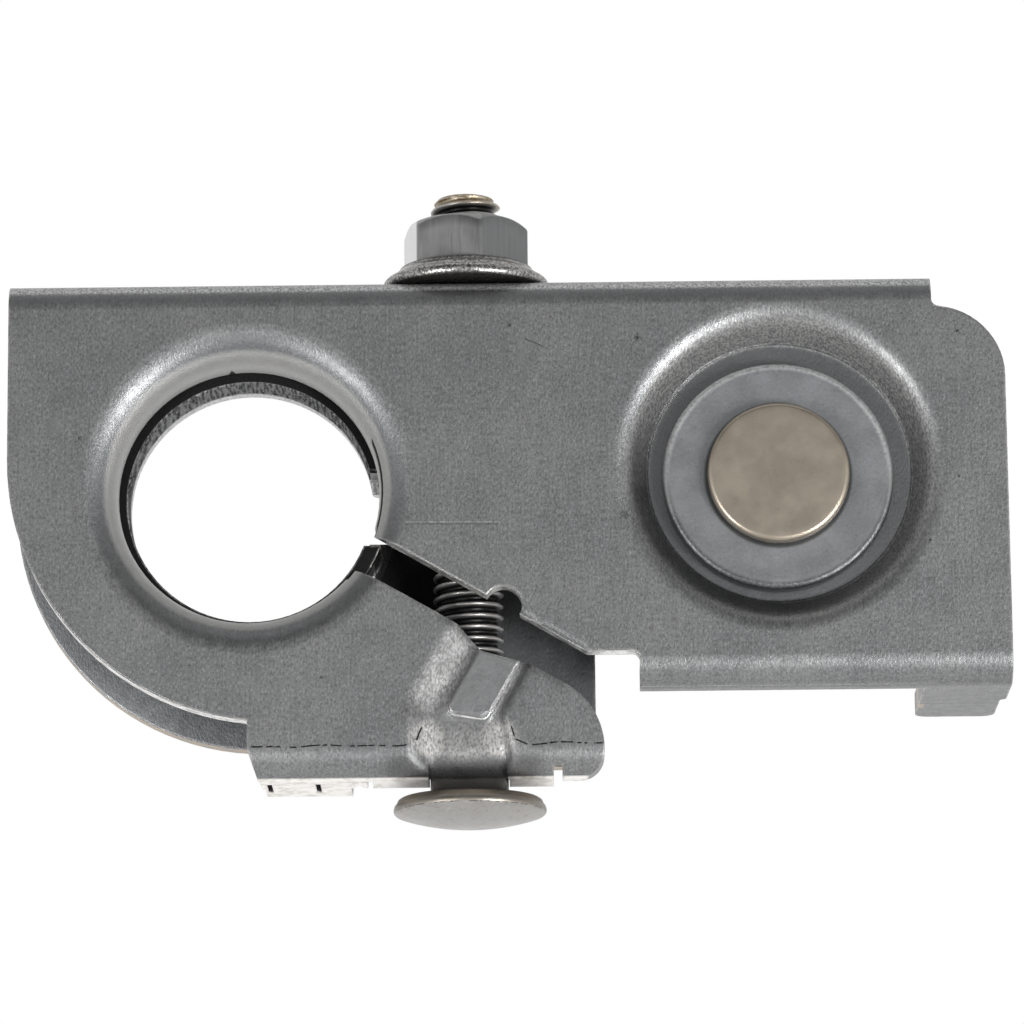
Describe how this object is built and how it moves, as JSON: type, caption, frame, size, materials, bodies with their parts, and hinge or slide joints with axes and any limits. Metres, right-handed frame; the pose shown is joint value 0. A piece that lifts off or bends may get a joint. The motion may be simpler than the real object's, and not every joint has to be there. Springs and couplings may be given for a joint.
{
  "type": "battery terminal clamp",
  "caption": "Folded sheet-steel clamp for a battery post, closed by a flanged nut and domed bolt, with a cable stud in a round dimple.",
  "frame": {"origin": "on the battery post's axis, in the middle plane of the folded sheet, which the clamp bolt's axis also lies in", "axes": "+Z along the post's axis, out of the face that the post enters; +X from the post towards the cable stud; +Y along the clamp bolt, from its head towards its nut"},
  "size_m": [0.0692, 0.0448, 0.02],
  "materials": {
    "plated_sheet": "worn tin plating, satin",
    "bolt_steel": "zinc plated, satin",
    "nut_steel": "zinc plated, bright",
    "washer_steel": "plated, satin",
    "stud_steel": "nickel plated, satin"
  },
  "bodies": {
    "clamp": {"clamp_body": "plated_sheet", "stud_washer": "washer_steel", "terminal_stud": "stud_steel"},
    "bolt": {"clamp_bolt": "bolt_steel"},
    "nut": {"clamp_nut": "nut_steel"}
  },
  "joints": [
    {"name": "bolt_travel", "type": "slide", "parent": "clamp", "child": "bolt", "axis": [0, -1, 0], "range_m": [-0.0008, 0.0024]},
    {"name": "nut_spin", "type": "hinge", "parent": "clamp", "child": "nut", "pos_m": [0.0152, 0.017, 0], "axis": [0, 1, 0], "range_deg": [-360, 1080]}
  ],
  "couplings": [
    {"joint": "nut_spin", "follows": "bolt_travel", "rad_per_m": 7854}
  ]
}
